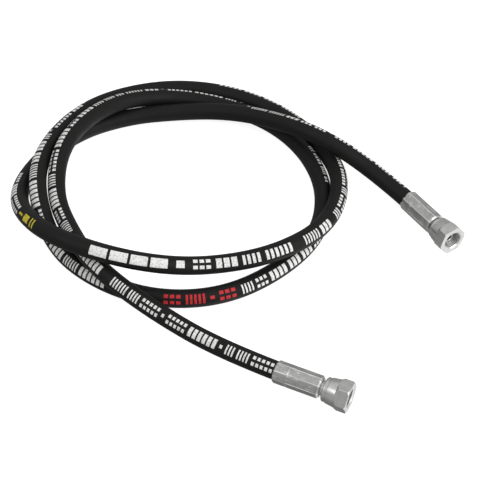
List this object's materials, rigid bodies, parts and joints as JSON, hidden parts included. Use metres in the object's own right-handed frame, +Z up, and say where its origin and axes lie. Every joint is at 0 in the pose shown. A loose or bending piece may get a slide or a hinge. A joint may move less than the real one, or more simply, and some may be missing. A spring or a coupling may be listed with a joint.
{
  "type": "hydraulic hose assembly",
  "caption": "Wire-braided rubber hydraulic hose lying in a loose coil, with a crimped ferrule and a swivelling hexagon nut at each end.",
  "frame": {"origin": "on the floor, at the middle of the assembly's outline seen from above", "axes": "+Z up from the floor; +X toward the side on which end b lies; +Y away from end a"},
  "size_m": [0.3139, 0.3144, 0.0397],
  "materials": {
    "cover_rubber": "satin, fine cloth-wrap grain",
    "liner_rubber": "smooth",
    "braid_steel": "brass-coated wire",
    "plated_steel": "zinc plated, satin",
    "seal_rubber": "smooth"
  },
  "bodies": {
    "hose": {"inner_tube": "liner_rubber", "wire_braid": "braid_steel", "outer_cover": "cover_rubber", "ferrule_a": "plated_steel", "insert_a": "plated_steel", "o_ring_a": "seal_rubber", "ferrule_b": "plated_steel", "insert_b": "plated_steel", "o_ring_b": "seal_rubber"},
    "nut_a": {"swivel_nut_a": "plated_steel"},
    "nut_b": {"swivel_nut_b": "plated_steel"}
  },
  "joints": [
    {"name": "swivel_a", "type": "hinge", "parent": "hose", "child": "nut_a", "pos_m": [0.06324, -0.14435, 0.01019], "axis": [0.9099, -0.4146, -0.0148], "continuous": true},
    {"name": "swivel_b", "type": "hinge", "parent": "hose", "child": "nut_b", "pos_m": [0.14258, -0.00511, 0.00997], "axis": [0.534, -0.8435, 0.0585], "continuous": true}
  ]
}
